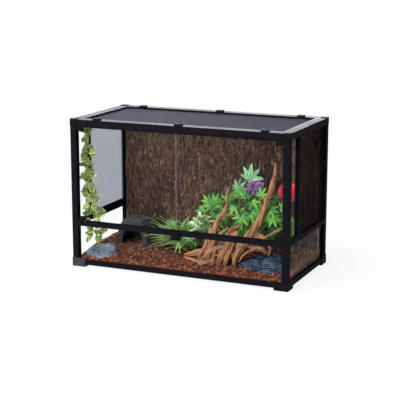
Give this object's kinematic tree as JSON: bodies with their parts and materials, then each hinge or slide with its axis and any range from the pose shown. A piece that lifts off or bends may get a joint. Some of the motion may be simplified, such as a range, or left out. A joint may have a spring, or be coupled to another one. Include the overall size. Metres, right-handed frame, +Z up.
{
  "type": "reptile terrarium",
  "caption": "Front-opening glass reptile terrarium in a black profile frame, with hinged doors, side vents, a lift-off screen lid, bedding, bark, driftwood, plants, cave and dish.",
  "frame": {"origin": "centre of the footprint at the foot pads' undersides", "axes": "+Z up, +X to the right seen from the front along the width, +Y from the doors to the back"},
  "size_m": [0.904, 0.4653, 0.5928],
  "materials": {
    "frame_black": "satin black powder coat",
    "moulded_black": "fine matt",
    "pad_rubber": "matt",
    "clear_glass": "polished",
    "mesh_wire": "fine woven, matt",
    "bolt_grey": "satin",
    "lock_metal": "satin",
    "bedding": "loose chips",
    "bark": "rough",
    "cave_resin": "cast stone",
    "dish_resin": "cast stone",
    "slate": "layered stone",
    "driftwood": "weathered",
    "vine_leaf": "printed leaf cloth",
    "grass_leaf": "satin",
    "broad_leaf": "printed leaf cloth",
    "pale_leaf": "printed leaf cloth",
    "purple_petal": "cloth",
    "red_petal": "cloth"
  },
  "bodies": {
    "tank": {"feet": "moulded_black", "foot_pads": "pad_rubber", "post_front_left": "frame_black", "post_front_right": "frame_black", "post_rear_left": "frame_black", "post_rear_right": "frame_black", "bottom_rail_front": "frame_black", "bottom_rail_rear": "frame_black", "bottom_rail_left": "frame_black", "bottom_rail_right": "frame_black", "top_rail_front": "frame_black", "top_rail_rear": "frame_black", "top_rail_left": "frame_black", "top_rail_right": "frame_black", "corner_connectors": "moulded_black", "mid_rail_front": "frame_black", "mid_rail_left": "frame_black", "mid_rail_right": "frame_black", "side_bar_left": "frame_black", "side_bar_right": "frame_black", "base_pane": "clear_glass", "back_pane": "clear_glass", "front_lower_pane": "clear_glass", "side_lower_panes": "clear_glass", "side_front_panes": "clear_glass", "vent_frames": "frame_black", "vent_meshes": "mesh_wire", "port_flange": "moulded_black", "port_nut": "moulded_black", "lid_keepers": "moulded_black", "lock_housing": "moulded_black", "bedding": "bedding", "bark_background": "bark", "hide_cave": "cave_resin", "water_dish": "dish_resin", "slate_rock": "slate", "driftwood": "driftwood", "hanging_vine": "vine_leaf", "grass_tuft": "grass_leaf", "leafy_plant": "broad_leaf", "pale_plant": "pale_leaf", "purple_flowers": "purple_petal", "red_flower": "red_petal"},
    "lid": {"lid_frame": "frame_black", "lid_mesh": "mesh_wire", "lid_spline": "moulded_black", "lid_bolt_guides": "moulded_black"},
    "left_door": {"left_door_glass": "clear_glass", "left_door_pivots": "moulded_black"},
    "right_door": {"right_door_glass": "clear_glass", "right_door_pivots": "moulded_black"},
    "lock_turn": {"lock_knob": "moulded_black", "lock_cam": "lock_metal"},
    "port_cover": {"port_cap": "moulded_black"},
    "bolt_front_left": {"lid_bolt_front_left": "bolt_grey"},
    "bolt_front_middle": {"lid_bolt_front_middle": "bolt_grey"},
    "bolt_front_right": {"lid_bolt_front_right": "bolt_grey"},
    "bolt_rear_left": {"lid_bolt_rear_left": "bolt_grey"},
    "bolt_rear_middle": {"lid_bolt_rear_middle": "bolt_grey"},
    "bolt_rear_right": {"lid_bolt_rear_right": "bolt_grey"}
  },
  "joints": [
    {"name": "left_door_hinge", "type": "hinge", "parent": "tank", "child": "left_door", "pos_m": [-0.418, -0.2205, 0.37], "axis": [0, 0, -1], "range_deg": [0, 110]},
    {"name": "right_door_hinge", "type": "hinge", "parent": "tank", "child": "right_door", "pos_m": [0.418, -0.2205, 0.37], "axis": [0, 0, 1], "range_deg": [0, 110]},
    {"name": "lid_lift", "type": "slide", "parent": "tank", "child": "lid", "axis": [0, 0, 1], "range_m": [0, 0.25]},
    {"name": "lock_turn_90", "type": "hinge", "parent": "tank", "child": "lock_turn", "pos_m": [0, -0.23, 0.172], "axis": [0, -1, 0], "range_deg": [0, 90]},
    {"name": "port_cover_turn", "type": "hinge", "parent": "tank", "child": "port_cover", "pos_m": [0.443, 0.124, 0.495], "axis": [1, 0, 0], "range_deg": [0, 180]},
    {"name": "bolt_front_left_slide", "type": "slide", "parent": "lid", "child": "bolt_front_left", "axis": [0, -1, 0], "range_m": [0, 0.009]},
    {"name": "bolt_front_middle_slide", "type": "slide", "parent": "lid", "child": "bolt_front_middle", "axis": [0, -1, 0], "range_m": [0, 0.009]},
    {"name": "bolt_front_right_slide", "type": "slide", "parent": "lid", "child": "bolt_front_right", "axis": [0, -1, 0], "range_m": [0, 0.009]},
    {"name": "bolt_rear_left_slide", "type": "slide", "parent": "lid", "child": "bolt_rear_left", "axis": [0, 1, 0], "range_m": [0, 0.009]},
    {"name": "bolt_rear_middle_slide", "type": "slide", "parent": "lid", "child": "bolt_rear_middle", "axis": [0, 1, 0], "range_m": [0, 0.009]},
    {"name": "bolt_rear_right_slide", "type": "slide", "parent": "lid", "child": "bolt_rear_right", "axis": [0, 1, 0], "range_m": [0, 0.009]}
  ]
}
